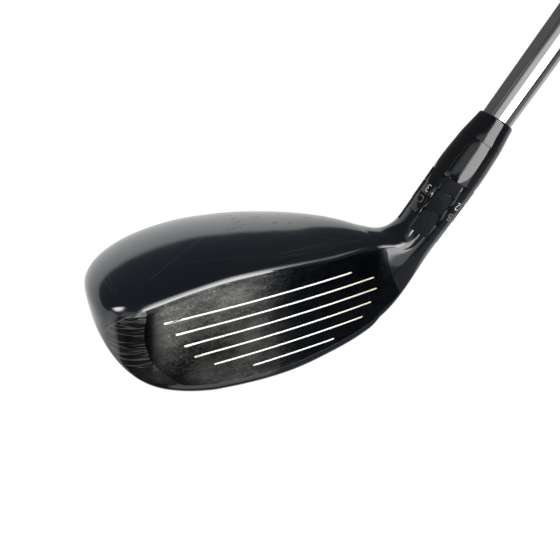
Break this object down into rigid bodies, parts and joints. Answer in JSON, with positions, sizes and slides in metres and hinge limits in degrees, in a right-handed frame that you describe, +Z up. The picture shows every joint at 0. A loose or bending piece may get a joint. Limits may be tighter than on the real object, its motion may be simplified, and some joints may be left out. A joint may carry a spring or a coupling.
{
  "type": "hybrid golf club",
  "caption": "Hybrid golf club with a hollow head, grooved face plate, slotted adjustable hosel, steel shaft and rubber grip.",
  "frame": {"origin": "on the shaft's axis in the middle of the two hands on the grip, 100 mm below the butt end; the sole's lowest point is 784 mm below it", "axes": "+Z up with the sole level on the ground, -Y towards the target, -X from the hosel towards the toe; the shaft leans 58.3 degrees towards +X"},
  "size_m": [0.6306, 0.0659, 0.8754],
  "materials": {
    "crown_paint": "gloss black paint under clear lacquer",
    "body_paint": "gloss black over cast steel",
    "face_metal": "dark ion-plated steel, brushed along the face",
    "hosel_metal": "dark anodised",
    "shaft_steel": "polished chrome plate",
    "screw_steel": "machined steel",
    "ferrule_plastic": "polished black plastic",
    "seal_rubber": "matt rubber",
    "grip_rubber": "moulded rubber with a fine pattern",
    "tape": "masking tape",
    "foam": "soft plug and tacky glue"
  },
  "bodies": {
    "head": {"head_body": "body_paint", "crown_shell": "crown_paint", "face_plate": "face_metal", "damping_pad": "foam"},
    "shaft_assembly": {"adapter_sleeve": "hosel_metal", "ferrule_collar": "ferrule_plastic", "ferrule_cap": "ferrule_plastic", "shaft": "shaft_steel", "tip_plug": "foam", "grip_tape": "tape", "grip": "grip_rubber", "grip_cap": "grip_rubber"},
    "ring": {"index_ring": "hosel_metal"},
    "bolt": {"hosel_bolt": "screw_steel", "bolt_washer": "screw_steel", "bolt_retainer": "seal_rubber"},
    "seal": {"weight_seal": "seal_rubber"},
    "weight": {"sole_weight": "screw_steel"}
  },
  "joints": [
    {"name": "shaft_lift", "type": "slide", "parent": "head", "child": "shaft_assembly", "axis": [0.5255, 0, 0.8508], "range_m": [0, 0.03]},
    {"name": "ring_lift", "type": "slide", "parent": "head", "child": "ring", "axis": [0.5255, 0, 0.8508], "range_m": [0, 0.0135]},
    {"name": "bolt_spin", "type": "hinge", "parent": "head", "child": "bolt", "pos_m": [-0.47555, 0, -0.76998], "axis": [0.5255, 0, 0.8508], "continuous": true},
    {"name": "weight_out", "type": "slide", "parent": "head", "child": "seal", "axis": [0, 0.331, -0.9436], "range_m": [0, 0.012]},
    {"name": "weight_spin", "type": "hinge", "parent": "seal", "child": "weight", "pos_m": [-0.51538, 0.03571, -0.77771], "axis": [0, 0.331, -0.9436], "range_deg": [0, 3460]}
  ],
  "couplings": [
    {"joint": "ring_lift", "follows": "shaft_lift", "ratio": 0.45},
    {"joint": "weight_spin", "follows": "weight_out", "rad_per_m": 5026.5}
  ]
}
